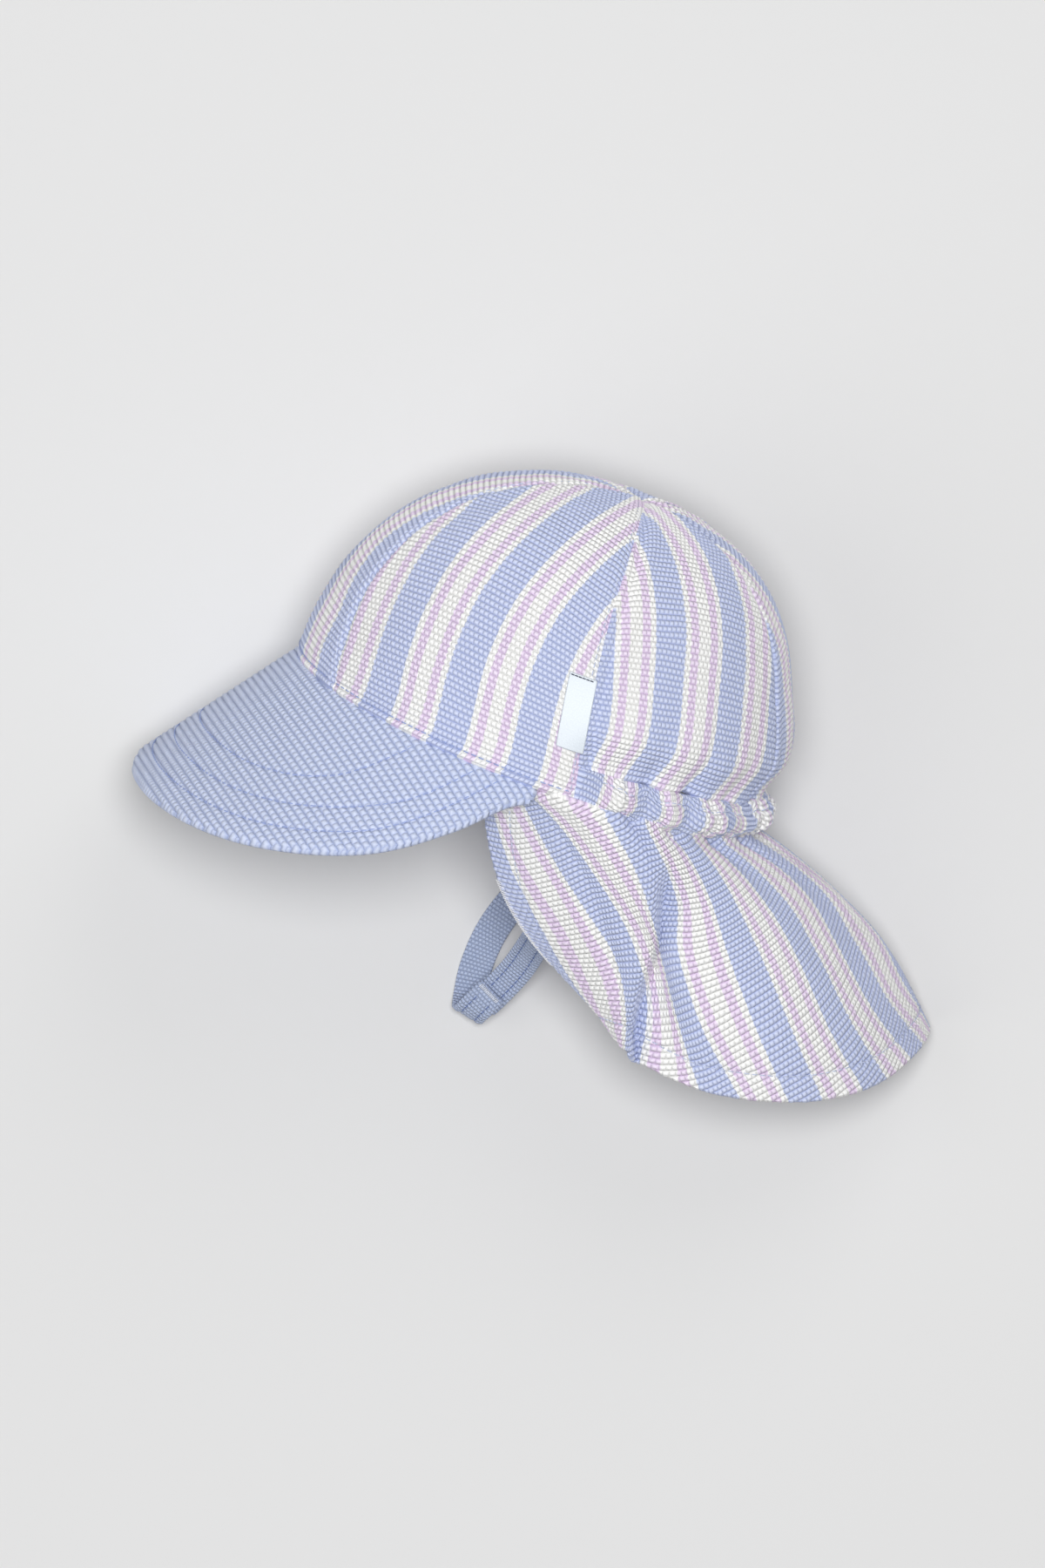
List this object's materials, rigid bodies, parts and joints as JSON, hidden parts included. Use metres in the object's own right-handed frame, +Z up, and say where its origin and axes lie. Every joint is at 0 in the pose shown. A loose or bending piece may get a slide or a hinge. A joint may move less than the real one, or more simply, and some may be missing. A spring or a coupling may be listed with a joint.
{
  "type": "child's striped sun hat with neck flap and chin strap, lying on its side",
  "caption": "Child's striped fabric sun hat with a plain peak, gathered back, neck flap and chin strap, lying on its side.",
  "frame": {"origin": "centre of the footprint on the ground", "axes": "+X from the peak to the back of the neck flap, +Y to the crown's top, +Z up from the ground through the hat's left side"},
  "size_m": [0.2786, 0.1834, 0.1413],
  "materials": {
    "striped_fabric": "ribbed seersucker with woven blue, white and violet stripes",
    "plain_fabric": "ribbed, one light blue",
    "strap_fabric": "ribbed, one light blue",
    "label_tape": "smooth satin tape, bare"
  },
  "bodies": {
    "root": {"crown_front_left": "striped_fabric", "crown_front_right": "striped_fabric", "crown_side_left": "striped_fabric", "crown_side_right": "striped_fabric", "crown_back_left": "striped_fabric", "crown_back_right": "striped_fabric", "peak": "plain_fabric", "back_band": "striped_fabric", "neck_flap": "striped_fabric", "chin_strap_near": "strap_fabric", "chin_strap_far": "strap_fabric", "side_label": "label_tape"}
  },
  "joints": []
}
